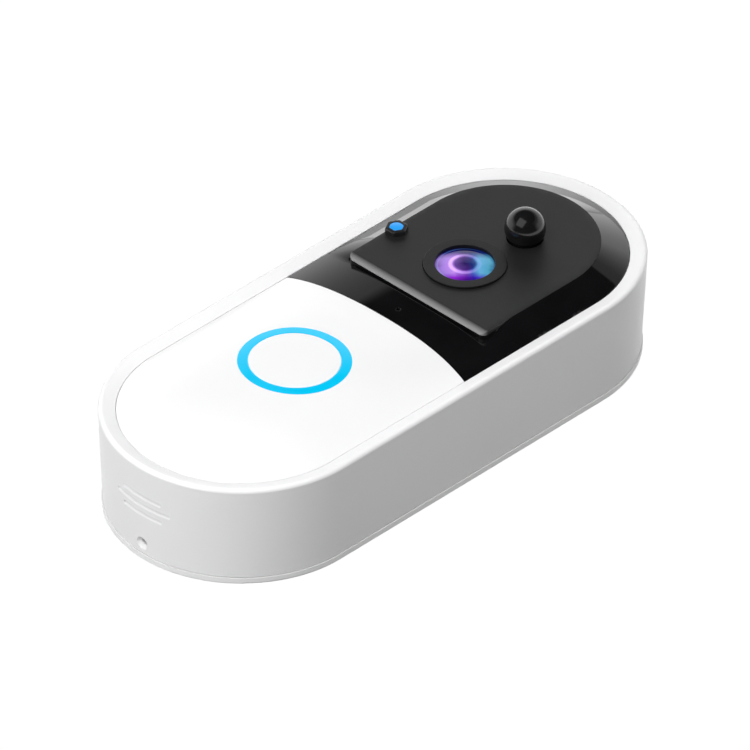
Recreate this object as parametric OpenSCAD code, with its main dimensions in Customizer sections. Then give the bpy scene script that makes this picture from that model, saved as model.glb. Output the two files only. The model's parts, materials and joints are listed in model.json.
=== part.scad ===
// Video doorbell lying on its back, as a case on a wall plate. Millimetres.
// +Z points out of the front, +Y towards the camera end, and the origin is the
// centre of the wall plate's back face.

/* [Body] */
// Overall width
body_w = 60; // [59.6:0.1:62]
// Overall length
body_l = 138.8; // [138.4:0.2:146]
// Height of the rim above the wall
rim_h = 24.8; // [24.6:0.1:25.2]
// Width of the rim, from the outer edge to the opening
rim_w = 3.7; // [3.5:0.1:3.9]
// How much narrower each side is at the back than at the rim
draft = 0.65; // [0.4:0.05:0.8]
// Thickness of the side wall
wall_t = 2.8; // [2.6:0.1:2.9]

/* [Wall plate] */
// Thickness of the wall plate
plate_t = 1.6; // [1.4:0.1:1.6]
// Radius of the two wall screw holes
wall_hole_r = 2.1; // [1.8:0.1:2.4]
// Distance between the two wall screw holes
wall_hole_span = 114; // [112:1:115]
// Radius of the security screw's clearance hole in the end wall
lock_hole_r = 1.5; // [1.3:0.1:1.7]
// Radius of the security screw's tapping hole in the plate's tab
lock_tap_r = 1.05; // [0.9:0.05:1.2]
// Height of the security screw above the wall
lock_z = 4.2; // [4:0.1:4.4]

/* [Front] */
// Height of the crown of the lower cover
crown_z = 28.9; // [28.6:0.1:29.1]
// Height of the flat sensor plate
deck_z = 27; // [26.8:0.1:27.2]
// Radius of the sensor plate's round end
deck_r = 20.1; // [19.6:0.1:20.4]
// Where the sensor plate's straight edge lies
deck_edge_y = 12.1; // [11.5:0.1:12.5]
// Where the two covers meet on the centre line
split_y = 3; // [2:0.5:4]

/* [Button] */
// Centre of the push button, along the length
ring_y = -23.8; // [-25:0.1:-22]
// Outer radius of the light ring
ring_r_out = 12.05; // [11.5:0.05:12.5]
// Inner radius of the light ring
ring_r_in = 9.85; // [9.6:0.05:10]
// Running gap round the button cap
cap_gap = 0.1; // [0.08:0.01:0.12]

/* [Camera] */
// Centre of the camera, along the length
cam_y = 27; // [26.5:0.1:27.5]
// Outer radius of the lens bezel
bezel_r = 8.85; // [8.6:0.05:9]
// Radius of the bezel's mouth
mouth_r = 6.4; // [6.3:0.05:6.5]
// How far the bezel stands above the sensor plate
bezel_rise = 0.45; // [0.3:0.05:0.6]

/* [Motion sensor] */
// Centre of the motion sensor, across the width
pir_x = 2.2; // [1.5:0.1:2.5]
// Centre of the motion sensor, along the length
pir_y = 42.9; // [42.5:0.1:44]
// Radius of its ball lens
pir_r = 4.45; // [4.2:0.05:4.6]
// Height of the ball's centre above the sensor plate
pir_rise = 2.6; // [2.4:0.1:2.7]

/* [Indicator] */
// Centre of the indicator, across the width
lamp_x = -18.8; // [-19:0.1:-18.6]
// Centre of the indicator, along the length
lamp_y = 25.5; // [25.4:0.1:26.5]
// Radius of the indicator's bezel over its corners
lamp_r = 2.6; // [2.4:0.05:2.7]

/* [Speaker] */
// Number of sound slots
slot_count = 3; // [3:2:5]
// Height of one sound slot
slot_h = 0.75; // [0.6:0.05:0.9]
// Pitch of the sound slots
slot_pitch = 2.27; // [2:0.01:2.5]
// Length of the middle sound slot
slot_len = 15; // [13:0.5:16]
// Height of the middle sound slot above the wall
slot_z = 14.5; // [13.5:0.5:15]

/* [Battery] */
// Radius of one cell
cell_r = 9.15; // [9:0.05:9.2]
// Length of one cell with its cap
cell_l = 65; // [64:0.5:65.5]

/* [Hidden] */
$fn = 64;
tiny = 0.05;
big = 200;

// Stadium: two round ends joined by straight sides
end_r = body_w / 2;
run = (body_l - body_w) / 2;
open_r = end_r - rim_w;
inner_r = end_r - wall_t;
rim_fillet = 0.9;
edge_z = rim_h - 0.9;

// Levels, from the back to the front
part_gap = 0.15;
shell_z = plate_t + part_gap;
flange_z = shell_z + 0.1;
flange_t = 1.5;
flange_top = flange_z + flange_t;
bay_top = 20.4;
bay_roof = 0.6;
board_z = 21.3;
board_t = 1;
board_top = board_z + board_t;
ledge_z = 20.7;
ledge_t = 1.05;
ledge_r = 25;
sensor_board_z = 18.3;
sensor_board_top = sensor_board_z + board_t;

// Wall plate details
plate_r = end_r - draft;
plate_edge = 0.6;
countersink_r = 3.9;
hook_half = 5;
hook_stem = [62.2, 63.5];
hook_lip_z = 4.25;
hook_lip_t = 1;
hook_tip = 65.8;
catch_y = 64.4;
catch_t = 0.75;
lock_tab = [8.4, 2.4, 5];
lock_tab_y = -64.6;

// Share of the middle sound slot's length that the outer ones have
outer_slot_share = 0.71;

// Rear housing details
seal_r = [20.9, 21.9];
seal_depth = 0.9;
bay_half = 19;
bay_wall = 1.7;
bay_y = [-51.2, 17.6];
bay_end_wall = 1.4;
notch_hook = [12, 61];
notch_lock = [11.2, -62.8];

// Screws: two across by two along
case_screw_at = [24.6, 30];
case_boss_r = 2.7;
board_screw_at = [[16.8, -45], [16.8, 12]];
sensor_screw_at = [[12, 57], [18.5, 21.8]];
screw_r = 0.95;
screw_hole_r = 1.02;
screw_pass_r = 1.2;
screw_head_r = 1.9;
screw_head_t = 1.1;
screw_len = 7;
post_r = 2.3;

// Front covers
crown_r_len = 170;
crown_r_wid = 85;
cover_t = 1.6;
cover_gap = 0.1;
split_r = 122;
split_gap = 0.1;
window_skin = 1.6;
deck_t = 1;
deck_chamfer = 0.7;
valley_z = [26, 25.75];
valley_floor = 23.9;
window_foot_r = 24.6;
window_foot_z = 22.6;
mic_at = [0, 7];
mic_hole_r = 0.5;

// Button and switch stack
cap_r = ring_r_in - cap_gap;
cap_t = 1.5;
cap_skirt_t = 0.9;
cap_flange_r = ring_r_in + 0.75;
cap_z = 24.2;
cap_flange_t = 0.7;
ring_foot_z = 23.2;
ring_foot_r = 10.9;
ring_shelf_z = 25.1;
tact_size = [6, 6, 1.7];
plunger_r = 1.7;
plunger_hole_r = 1.78;
plunger_z = [23.6, 24.9];
plunger_hole_z = 23;
post_radius = 1.8;
sleeve_r = [4.6, 6.2];
led_size = [2, 1.25, 0.8];
led_count = 8;
led_ring_r = 11.4;

// Outlines of the boards, and the chips on the main board
board_r = 22.8;
board_y0 = -56;
sensor_board_r = 24.6;
sensor_board_half = 21.5;
ir_led_at = [[12.5, 27], [12.5, 36]];
ir_led_size = [2.8, 2.8, 0.9];
ir_dome_r = 1.1;
ir_dome_t = 1.6;
can_at = [-9, -6];
can_size = [13, 11, 1.4];
radio_at = [9.5, -5.5];
radio_size = [12, 11, 1.7];
radio_pcb_t = 0.6;
antenna_at = [0, -50.5];
antenna_size = [24, 5, 0.3];
mic_size = [3.5, 2.7, 1];

// Camera stack
cam_board = [17, 14.4];
cam_board_z = 12.2;
sensor_chip = [7.2, 5.6, 0.9];
filter_size = [7.6, 7.6, 0.35];
filter_z = 14.7;
holder_base = [14, 14, 2.6];
holder_z = cam_board_z + board_t;
holder_r = [5.7, 7];
holder_top = 19.8;
barrel_r = [4.4, 5.6];
barrel_z = [16.5, 23];
glass_r = 6.25;
glass_z = 23.1;
glass_edge = 0.8;
glass_dome_r = 9;
bezel_z = 23.05;
bezel_seat_z = 25;
seat_r = 5.9;
flex_t = 0.15;
flex_half = 5;

// Motion sensor stack
pir_neck_r = 3.7;
pir_skin = 0.8;
pir_flange = [5.6, 23.5, 24.2];
pir_can = [4.1, 3.9];
pir_brim = [4.6, 0.4];

// Indicator stack
lamp_core_r = 1.5;
lamp_hole_r = 1.6;
lamp_z = [25.4, 28.1];
lamp_pipe_z = 20.3;

// Speaker stack, its axis along Y
speaker_z = 14.3;
speaker_r = 6.3;
speaker_y = -64.4;
basket_t = 1.8;
magnet_r = 4.3;
magnet_t = 2.6;
cone_r = 5.4;
mesh_y = -66.2;
mesh_half = [8.5, 3.8];
cradle_half = 7;
cradle_y = [3.4, 4.6];
lead_x = 2;
lead_t = 0.7;

// Battery
cell_gap = 0.5;
cell_x = cell_r + cell_gap / 2;
cell_z = flange_z + 0.15 + cell_r;
cell_y0 = -48.8;
nub_r = 3;
nub_l = 1;
contact_t = 0.3;
contact_w = 9;

// Rear board with the charging socket and the reset key
io_board = [28, 9.6];
io_y = 26;
io_z = 9;
io_post = [12, 3, 1.6];
usb_at = [-7, 25];
usb_size = [7.6, 2.8, 5.3];
usb_mouth = [6.9, 1.9, 4.4];
reset_at = [7, 26];
reset_r = 2;
reset_hole_r = 2.08;
reset_switch = [4.5, 4.5, 3.4];
reset_stem_r = 0.9;

// ---- Shared shapes ----

module stadium(r) {
    square([2 * r, 2 * run], center = true);
    for (side = [-1, 1]) translate([0, side * run]) circle(r);
}

// Carries a section, drawn at its distance from the centre line, round the stadium
module carry_round() {
    for (turn = [0, 180]) rotate([0, 0, turn]) {
        translate([0, run, 0]) rotate_extrude(angle = 180) children();
        rotate([90, 0, 0]) linear_extrude(2 * run, center = true) children();
    }
}

module slab(z0, z1) {
    translate([0, 0, z0]) linear_extrude(z1 - z0) children();
}

module rod(r, z0, z1) {
    translate([0, 0, z0]) cylinder(r = r, h = z1 - z0);
}

module tube(r_in, r_out, z0, z1) {
    difference() {
        rod(r_out, z0, z1);
        rod(r_in, z0 - 1, z1 + 1);
    }
}

// A block from two corners
module block(a, b) {
    translate(a) cube([b[0] - a[0], b[1] - a[1], b[2] - a[2]]);
}

// A block centred on a spot and standing on a level
module chip(at, size, z) {
    translate([at[0] - size[0] / 2, at[1] - size[1] / 2, z]) cube(size);
}

// Everything under the crowned front: a large torus lying across the body
module crown(depth = 0) {
    translate([0, ring_y, crown_z - crown_r_len]) rotate([0, 90, 0])
        rotate_extrude($fn = 240) translate([crown_r_len - crown_r_wid, 0])
            circle(crown_r_wid - depth, $fn = 240);
}

// The side of the curved split that the lower cover lies on
module split_disc(gap) {
    translate([0, split_y - split_r]) circle(split_r + gap, $fn = 240);
}

module deck_outline(gap) {
    intersection() {
        stadium(deck_r + gap);
        translate([-big, deck_edge_y - gap]) square([2 * big, big]);
    }
}

module at_four(spot) {
    for (sx = [-1, 1], sy = [-1, 1]) translate([sx * spot[0], sy * spot[1], 0]) children();
}

module at_pairs(spots) {
    for (spot = spots, sx = [-1, 1]) translate([sx * spot[0], spot[1], 0]) children();
}

// A screw whose head stands on z = 0 and whose shank hangs below it
module screw(length) {
    difference() {
        union() {
            rod(screw_head_r, 0, screw_head_t);
            rod(screw_r, -length, tiny);
        }
        for (turn = [0, 90]) rotate([0, 0, turn])
            chip([0, 0], [2, 0.4, 1], screw_head_t - 0.5);
    }
}

// A lens blank: a disc with a domed front
module lens_blank(r, edge, dome_r) {
    dome_h = dome_r - sqrt(dome_r * dome_r - r * r);
    rotate_extrude() intersection() {
        translate([0, edge + dome_h - dome_r]) circle(dome_r);
        square([r, edge + dome_h]);
    }
}

// ---- Wall plate ----

module plate_section() {
    square([plate_r - plate_edge, plate_t]);
    translate([0, plate_edge]) square([plate_r, plate_t - plate_edge]);
    translate([plate_r - plate_edge, plate_edge]) circle(plate_edge);
}

module wall_plate() {
    color("gainsboro") difference() {
        union() {
            carry_round() plate_section();
            block([-hook_half, hook_stem[0], plate_t - tiny], [hook_half, hook_stem[1], hook_lip_z + tiny]);
            block([-hook_half, hook_stem[0], hook_lip_z], [hook_half, hook_tip, hook_lip_z + hook_lip_t]);
            chip([0, lock_tab_y], [lock_tab[0], lock_tab[1], lock_tab[2] + tiny], plate_t - tiny);
        }
        for (side = [-1, 1]) translate([0, side * wall_hole_span / 2, 0]) {
            rod(wall_hole_r, -1, plate_t + 1);
            translate([0, 0, 0.3]) cylinder(r1 = wall_hole_r, r2 = countersink_r, h = plate_t - 0.3 + tiny);
        }
        translate([0, lock_tab_y, lock_z]) rotate([90, 0, 0])
            cylinder(r = lock_tap_r, h = lock_tab[1] + 1, center = true);
    }
}

// ---- Case ----

module shell_section() {
    polygon([
        [inner_r, shell_z], [plate_r, shell_z], [end_r, rim_h - rim_fillet],
        [end_r - rim_fillet, rim_h], [open_r, edge_z],
        [open_r, ledge_z + ledge_t], [ledge_r, ledge_z + ledge_t], [ledge_r, ledge_z],
        [inner_r, ledge_z]
    ]);
    translate([end_r - rim_fillet, rim_h - rim_fillet]) circle(rim_fillet);
}

module sound_slots() {
    middle = (slot_count - 1) / 2;
    for (i = [0 : slot_count - 1]) {
        length = i == middle ? slot_len : slot_len * outer_slot_share;
        translate([0, -run - end_r, slot_z + (i - middle) * slot_pitch])
            cube([length, 4 * wall_t, slot_h], center = true);
    }
}

module outer_shell() {
    color("white") difference() {
        union() {
            carry_round() shell_section();
            at_four(case_screw_at) rod(case_boss_r, flange_top + tiny, ledge_z + 0.2);
            intersection() {
                block([-hook_half, catch_y, shell_z], [hook_half, body_l / 2, shell_z + catch_t]);
                slab(0, rim_h) stadium(inner_r + 0.2);
            }
        }
        sound_slots();
        translate([0, -run - end_r, lock_z]) rotate([90, 0, 0])
            cylinder(r = lock_hole_r, h = 4 * wall_t, center = true);
        at_four(case_screw_at) rod(screw_hole_r, 0, flange_top + screw_len);
    }
}

module rear_housing() {
    bay_out = bay_half + bay_wall;
    y0 = bay_y[0] - bay_end_wall;
    y1 = bay_y[1] + bay_end_wall;
    color("whitesmoke") difference() {
        union() {
            slab(flange_z, flange_top) stadium(inner_r - 0.25);
            block([-bay_out, y0, flange_z], [bay_out, y1, bay_top + bay_roof]);
            at_pairs(board_screw_at) rod(post_r - 0.5, bay_top, board_z);
            at_pairs(sensor_screw_at) rod(post_r, flange_top - tiny, sensor_board_z);
            for (side = [-1, 1]) translate([side * io_post[0], io_y + io_post[1], 0])
                rod(io_post[2], flange_top - tiny, io_z);
            difference() {
                block([-cradle_half, speaker_y + cradle_y[0], flange_top - tiny],
                    [cradle_half, speaker_y + cradle_y[1], speaker_z - 1]);
                translate([0, speaker_y, speaker_z]) rotate([90, 0, 0])
                    cylinder(r = magnet_r + 0.1, h = 20, center = true);
            }
        }
        block([-bay_half, bay_y[0], -1], [bay_half, bay_y[1], bay_top]);
        slab(0, flange_z + seal_depth) difference() {
            stadium(seal_r[1] + tiny);
            stadium(seal_r[0] - tiny);
        }
        block([-notch_hook[0] / 2, notch_hook[1], 0], [notch_hook[0] / 2, big, flange_top + 1]);
        block([-notch_lock[0] / 2, -big, 0], [notch_lock[0] / 2, notch_lock[1], flange_top + 1]);
        at_four(case_screw_at) {
            rod(screw_pass_r, 0, flange_top + 1);
            rod(screw_head_r + 0.2, 0, flange_z + screw_head_t + 0.1);
        }
        at_pairs(board_screw_at) rod(screw_hole_r, bay_top - 1, board_z + 1);
        at_pairs(sensor_screw_at) rod(screw_hole_r, sensor_board_z - screw_len, sensor_board_z + 1);
        chip(usb_at, [usb_size[0] + 1, usb_size[1] + 1, 5], 0);
        translate([reset_at[0], reset_at[1], 0]) rod(reset_hole_r, 0, 5);
    }
}

module housing_seal() {
    color("dimgray") carry_round()
        translate([seal_r[0], flange_z - 0.15]) square([seal_r[1] - seal_r[0], seal_depth + 0.15]);
}

module case_screws() {
    color("silver") at_four(case_screw_at) translate([0, 0, flange_z + screw_head_t + 0.1])
        rotate([180, 0, 0]) screw(screw_len - 1);
}

// ---- Front covers ----

module lower_cover() {
    color("white") difference() {
        intersection() {
            slab(ledge_z + ledge_t, crown_z + 1) intersection() {
                stadium(open_r - cover_gap);
                split_disc(0);
            }
            crown();
        }
        crown(cover_t);
        translate([0, ring_y, 0]) rod(ring_r_out + tiny, 0, crown_z + 1);
    }
}

module window_section(skin) {
    polygon([
        [0, ledge_z + ledge_t - skin], [open_r - cover_gap - skin, ledge_z + ledge_t - skin],
        [open_r - cover_gap - skin, edge_z - skin / 2],
        [deck_r + 0.3, deck_z - skin * 1.6], [0, deck_z - skin * 1.6]
    ]);
}

module camera_window() {
    tilt = atan((valley_z[0] - valley_z[1]) / (deck_edge_y - split_y));
    color("black") difference() {
        carry_round() window_section(0);
        intersection() {
            carry_round() window_section(window_skin);
            block([-big, deck_edge_y + 1, 0], [big, big, big]);
        }
        block([-deck_r, -big, 0], [deck_r, deck_edge_y + 1 + tiny, valley_floor]);
        block([-window_foot_r, -big, 0], [window_foot_r, deck_edge_y + 1 + tiny, window_foot_z]);
        slab(0, big) split_disc(split_gap);
        slab(deck_z - deck_t, big) deck_outline(tiny);
        translate([-big, split_y, valley_z[0]]) rotate([-tilt, 0, 0])
            translate([0, -big, 0]) cube([2 * big, big + deck_edge_y - split_y, big]);
        translate([0, cam_y, 0]) rod(bezel_r + tiny, 0, big);
        translate([pir_x, pir_y, 0]) rod(pir_neck_r + 0.1, 0, big);
        translate([lamp_x, lamp_y, 0]) rod(lamp_hole_r, 0, big);
        translate([lamp_x, lamp_y, lamp_z[0]]) cylinder(r = lamp_r + tiny, h = big, $fn = 6);
        translate([mic_at[0], mic_at[1], 0]) rod(mic_hole_r, 0, big);
    }
}

module sensor_plate() {
    color("dimgray") difference() {
        slab(deck_z - deck_t, deck_z) deck_outline(0);
        translate([-big, deck_edge_y, deck_z - deck_chamfer]) rotate([45, 0, 0])
            translate([0, -1, 0]) cube([2 * big, 3, 1]);
        translate([0, cam_y, 0]) rod(bezel_r + tiny, 0, big);
        translate([pir_x, pir_y, 0]) rod(pir_neck_r + 0.1, 0, big);
        translate([lamp_x, lamp_y, 0]) cylinder(r = lamp_r + tiny, h = big, $fn = 6);
    }
}

// ---- Push button ----

module light_ring() {
    color("deepskyblue") intersection() {
        translate([0, ring_y, 0]) union() {
            tube(ring_r_in, ring_r_out, ring_shelf_z, crown_z + 1);
            tube(ring_foot_r, ring_r_out, ring_foot_z, ring_shelf_z + tiny);
        }
        crown();
    }
}

module button_cap() {
    color("white") difference() {
        intersection() {
            translate([0, ring_y, 0]) union() {
                rod(cap_r, cap_z, crown_z + 1);
                rod(cap_flange_r, cap_z, cap_z + cap_flange_t);
            }
            crown();
        }
        translate([0, ring_y, 0])
            tube(post_radius, cap_r - cap_skirt_t, cap_z - 1, crown_z - cap_t - 0.4);
        translate([0, ring_y, 0]) rod(post_radius + 1, cap_z - 1, plunger_z[1]);
    }
}

module button_sleeve() {
    color("lightgray") translate([0, ring_y, 0])
        tube(sleeve_r[0], sleeve_r[1], board_top, crown_z - cap_t - 0.4);
}

module tact_switch() {
    color("black") difference() {
        chip([0, ring_y], tact_size, board_top);
        translate([0, ring_y, 0]) rod(plunger_hole_r, plunger_hole_z, big);
    }
}

module switch_plunger() {
    color("silver") translate([0, ring_y, 0]) rod(plunger_r, plunger_z[0], plunger_z[1]);
}

// ---- Camera ----

module lens_bezel() {
    color("dimgray") translate([0, cam_y, 0]) difference() {
        union() {
            rod(bezel_r, deck_z - 1.5, deck_z + bezel_rise);
            rod(glass_r + 1.2, bezel_z, deck_z);
        }
        rod(glass_r + tiny, bezel_z - 1, bezel_seat_z);
        rod(seat_r, bezel_z - 1, deck_z + 1);
        translate([0, 0, bezel_seat_z + 0.3])
            cylinder(r1 = seat_r, r2 = mouth_r, h = deck_z + bezel_rise - bezel_seat_z - 0.3 + tiny);
    }
}

module lens_glass() {
    color("mediumpurple") translate([0, cam_y, glass_z]) lens_blank(glass_r - 0.4, glass_edge, glass_dome_r);
}

module lens_barrel() {
    color("black") translate([0, cam_y, 0]) tube(barrel_r[0], barrel_r[1], barrel_z[0], barrel_z[1]);
}

module lens_middle() {
    color("lightblue") translate([0, cam_y, 19]) lens_blank(barrel_r[0] - tiny, 0.9, 7);
}

module lens_rear() {
    color("lightblue") translate([0, cam_y, 16.9]) lens_blank(barrel_r[0] - tiny, 0.6, 12);
}

module lens_holder() {
    color("black") difference() {
        union() {
            chip([0, cam_y], holder_base, holder_z);
            translate([0, cam_y, 0]) rod(holder_r[1], holder_z + 1, holder_top);
        }
        translate([0, cam_y, 0]) rod(holder_r[0], holder_z + holder_base[2] - tiny, big);
        translate([0, cam_y, 0]) rod(3, 0, big);
        chip([0, cam_y], [8, 8, 2], holder_z - tiny);
    }
}

module ir_filter() {
    color("lightgreen") chip([0, cam_y], filter_size, filter_z);
}

module image_sensor() {
    color("darkslategray") chip([0, cam_y], sensor_chip, holder_z);
}

module camera_board() {
    color("darkgreen") chip([0, cam_y], [cam_board[0], cam_board[1], board_t], cam_board_z);
}

module camera_flex() {
    near = bay_y[1] + bay_end_wall + 0.25;
    color("orange") rotate([90, 0, 90]) linear_extrude(2 * flex_half, center = true) polygon([
        [24, cam_board_z], [near + flex_t, cam_board_z], [near + flex_t, board_top + flex_t],
        [14, board_top + flex_t], [14, board_top], [near, board_top],
        [near, cam_board_z - flex_t], [24, cam_board_z - flex_t]
    ]);
}

// ---- Motion sensor and indicator ----

module pir_lens() {
    centre = deck_z + pir_rise;
    color("black") translate([pir_x, pir_y, 0]) difference() {
        union() {
            translate([0, 0, centre]) sphere(pir_r);
            rod(pir_neck_r, pir_flange[1], deck_z + 0.3);
            rod(pir_flange[0], pir_flange[1], pir_flange[2]);
        }
        translate([0, 0, centre]) sphere(pir_r - pir_skin);
        rod(pir_neck_r - pir_skin, 0, centre);
    }
}

module pir_sensor() {
    color("silver") translate([pir_x, pir_y, 0]) {
        rod(pir_can[0], sensor_board_top, sensor_board_top + pir_can[1]);
        rod(pir_brim[0], sensor_board_top, sensor_board_top + pir_brim[1]);
    }
}

module indicator_bezel() {
    color("black") translate([lamp_x, lamp_y, 0]) difference() {
        translate([0, 0, lamp_z[0]]) cylinder(r = lamp_r, h = lamp_z[1] - lamp_z[0], $fn = 6);
        rod(lamp_core_r + tiny, 0, big);
    }
}

module indicator_lamp() {
    color("dodgerblue") translate([lamp_x, lamp_y, 0]) rod(lamp_core_r, lamp_pipe_z, lamp_z[1] - 0.2);
}

module status_led() {
    color("lightyellow") chip([lamp_x, lamp_y], led_size, sensor_board_top);
}

module ir_leds() {
    color("darkslateblue") at_pairs(ir_led_at) {
        chip([0, 0], ir_led_size, sensor_board_top);
        rod(ir_dome_r, sensor_board_top, sensor_board_top + ir_dome_t);
    }
}

module sensor_board() {
    color("darkgreen") difference() {
        slab(sensor_board_z, sensor_board_top) intersection() {
            stadium(sensor_board_r);
            translate([-sensor_board_half, bay_y[1] + bay_end_wall + 0.9])
                square([2 * sensor_board_half, big]);
        }
        translate([0, cam_y, 0]) rod(holder_r[1] + 0.6, 0, big);
        at_pairs(sensor_screw_at) rod(screw_pass_r, 0, big);
    }
}

// ---- Boards and electronics ----

module board_screws() {
    color("silver") {
        at_pairs(board_screw_at) translate([0, 0, board_top]) screw(board_top - bay_top + 0.6);
        at_pairs(sensor_screw_at) translate([0, 0, sensor_board_top]) screw(screw_len - 1);
    }
}

module main_board() {
    color("darkgreen") difference() {
        slab(board_z, board_top) intersection() {
            stadium(board_r);
            translate([-big, board_y0]) square([2 * big, bay_y[1] + bay_end_wall - board_y0]);
        }
        at_pairs(board_screw_at) rod(screw_pass_r, 0, big);
    }
}

module ring_leds() {
    color("lightyellow") for (i = [0 : led_count - 1])
        translate([0, ring_y, 0]) rotate([0, 0, (i + 0.5) * 360 / led_count])
            chip([led_ring_r, 0], led_size, board_top);
}

module shield_can() {
    color("silver") difference() {
        chip(can_at, can_size, board_top);
        chip(can_at, [can_size[0] - 0.6, can_size[1] - 0.6, can_size[2] - 0.3], board_top - tiny);
    }
}

module wifi_module() {
    color("silver") {
        chip(radio_at, [radio_size[0], radio_size[1], radio_pcb_t], board_top);
        chip(radio_at, [radio_size[0] - 1.2, radio_size[1] - 2, radio_size[2] - radio_pcb_t],
            board_top + radio_pcb_t);
    }
}

module antenna() {
    color("goldenrod") chip(antenna_at, antenna_size, board_top);
}

module microphone() {
    color("gold") chip(mic_at, mic_size, board_top);
}

module mic_boot() {
    color("dimgray") translate([mic_at[0], mic_at[1], 0])
        tube(mic_hole_r, 1.9, board_top + mic_size[2], valley_floor);
}

// ---- Speaker ----

// Turns the +Z axis of its children to face out of the sound slots
module face_out(y) {
    translate([0, y, speaker_z]) rotate([90, 0, 0]) children();
}

module speaker_basket() {
    color("dimgray") face_out(speaker_y) difference() {
        union() {
            rod(speaker_r, -basket_t, 0);
            rod(magnet_r + 0.9, -basket_t - 0.6, -basket_t + tiny);
        }
        rod(speaker_r - 0.7, -basket_t + 0.4, 1);
        rod(magnet_r, -basket_t - 1, 1);
    }
}

module speaker_cone() {
    color("black") face_out(speaker_y) difference() {
        union() {
            translate([0, 0, -basket_t + 0.45]) cylinder(r1 = 2, r2 = cone_r, h = basket_t - 0.65);
            rod(2, -basket_t + 0.4, -basket_t + 0.6);
        }
        translate([0, 0, -basket_t + 0.75]) cylinder(r1 = 1.8, r2 = cone_r, h = basket_t - 0.6);
    }
}

module speaker_magnet() {
    color("silver") face_out(speaker_y) rod(magnet_r - tiny, -basket_t - magnet_t, -basket_t + 0.3);
}

module speaker_gasket() {
    color("black") face_out(speaker_y) tube(speaker_r - 0.8, speaker_r, 0, 0.55);
}

module speaker_mesh() {
    color("gray") intersection() {
        block([-mesh_half[0], mesh_y - 1, slot_z - mesh_half[1]],
            [mesh_half[0], mesh_y + 6, slot_z + mesh_half[1]]);
        slab(0, rim_h) difference() {
            stadium(inner_r - tiny);
            stadium(inner_r - 0.35);
        }
    }
}

module speaker_leads() {
    color("red") for (side = [-1, 1]) translate([side * lead_x, 0, 0])
        rotate([90, 0, 90]) linear_extrude(lead_t, center = true) polygon([
            [speaker_y + 2.45, speaker_z + 4.9], [-58.2, speaker_z + 4.9], [-58.2, board_top],
            [-55.5, board_top], [-55.5, board_top + 0.7], [-58.9, board_top + 0.7],
            [-58.9, speaker_z + 5.6], [speaker_y + 2.45, speaker_z + 5.6]
        ]);
}

// ---- Battery ----

module cell(side) {
    translate([side * cell_x, cell_y0, cell_z]) rotate([-90, 0, 0]) {
        cylinder(r = cell_r, h = cell_l - nub_l);
        cylinder(r = nub_r, h = cell_l);
    }
}

module battery_cell_left() {
    color("mediumseagreen") cell(-1);
}

module battery_cell_right() {
    color("mediumseagreen") cell(1);
}

// Bent leaf springs on the flat ends of the cells
module contact_springs() {
    wall = bay_y[0] + tiny;
    tip = cell_y0 - tiny;
    color("silver") for (side = [-1, 1]) translate([side * cell_x, 0, 0])
        rotate([90, 0, 90]) linear_extrude(contact_w, center = true) polygon([
            [wall, 5], [wall, 17], [wall + contact_t, 17], [tip, 12.5], [tip, 10.5],
            [tip - contact_t, 10.5], [tip - contact_t, 12.3], [wall + contact_t, 16.2],
            [wall + contact_t, 5]
        ]);
}

module contact_plates() {
    color("silver") for (side = [-1, 1]) {
        block([side * cell_x - contact_w / 2, bay_y[1] - contact_t - tiny, 5],
            [side * cell_x + contact_w / 2, bay_y[1] - tiny, 17]);
    }
}

// ---- Rear board ----

module io_board_rear() {
    color("darkgreen") chip([0, io_y], [io_board[0], io_board[1], board_t], io_z);
}

module usb_socket() {
    color("silver") difference() {
        chip(usb_at, usb_size, io_z - usb_size[2]);
        chip(usb_at, usb_mouth, io_z - usb_size[2] - tiny);
    }
}

module reset_switch_body() {
    color("black") difference() {
        chip(reset_at, reset_switch, io_z - reset_switch[2]);
        translate([reset_at[0], reset_at[1], 0]) rod(reset_stem_r + 0.08, 0, io_z - reset_switch[2] + 1.2);
    }
}

module reset_button() {
    color("gray") translate([reset_at[0], reset_at[1], 0]) {
        rod(reset_r, flange_z + 0.3, flange_top + 0.3);
        rod(reset_r + 0.6, flange_top + 0.1, flange_top + 0.6);
        rod(reset_stem_r, flange_top, io_z - reset_switch[2] + 0.4);
    }
}

wall_plate();
outer_shell();
rear_housing();
housing_seal();
case_screws();
lower_cover();
light_ring();
button_cap();
button_sleeve();
tact_switch();
switch_plunger();
camera_window();
sensor_plate();
lens_bezel();
lens_glass();
lens_barrel();
lens_middle();
lens_rear();
lens_holder();
ir_filter();
image_sensor();
camera_board();
camera_flex();
pir_lens();
pir_sensor();
indicator_bezel();
indicator_lamp();
status_led();
ir_leds();
sensor_board();
board_screws();
main_board();
ring_leds();
shield_can();
wifi_module();
antenna();
microphone();
mic_boot();
speaker_basket();
speaker_cone();
speaker_magnet();
speaker_gasket();
speaker_mesh();
speaker_leads();
battery_cell_left();
battery_cell_right();
contact_springs();
contact_plates();
io_board_rear();
usb_socket();
reset_button();
reset_switch_body();
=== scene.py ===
"""Video doorbell: the looks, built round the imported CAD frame.

The makers work in millimetres in the frame's axes, and make() turns them into metres.
"""

import json
import math

import bpy
import bmesh
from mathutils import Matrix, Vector
from mathutils.geometry import delaunay_2d_cdt


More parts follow.
